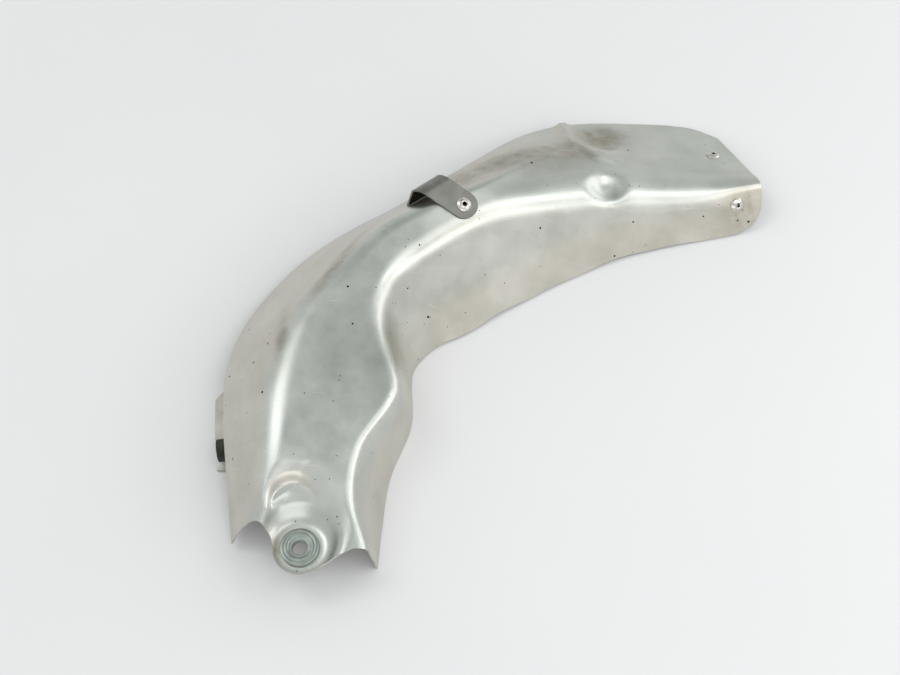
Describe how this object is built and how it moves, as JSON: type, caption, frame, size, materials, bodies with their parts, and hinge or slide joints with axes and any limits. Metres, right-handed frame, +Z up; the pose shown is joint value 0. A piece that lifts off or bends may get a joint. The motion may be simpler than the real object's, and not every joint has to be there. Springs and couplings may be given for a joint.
{
  "type": "heat shield",
  "caption": "Curved pressed-aluminium heat shield for an exhaust pipe: open channel with a lowered bush seat, a riveted strap loop and a bolted side bracket.",
  "frame": {"origin": "centre of the bounding box at the level of the feet", "axes": "+Z up out of the crown, +Y from the bush end towards the strap, +X along the riveted tail"},
  "size_m": [0.3446, 0.332, 0.0652],
  "materials": {
    "pressed_sheet": "satin, scuffed and heat-stained",
    "plated_bush": "dull zinc plating",
    "strap_strip": "satin mill finish",
    "rivet_metal": "bright, pulled",
    "bracket_steel": "zinc plated",
    "black_steel": "black oxide"
  },
  "bodies": {
    "root": {"shield_panel": "pressed_sheet", "seat_bush": "plated_bush", "bush_washer": "plated_bush", "strap_loop": "strap_strip", "strap_rivet": "rivet_metal", "tail_strip": "strap_strip", "tail_rivet": "rivet_metal", "back_rivet": "rivet_metal", "side_bracket": "bracket_steel", "side_bolt": "black_steel", "side_nut": "black_steel"}
  },
  "joints": []
}
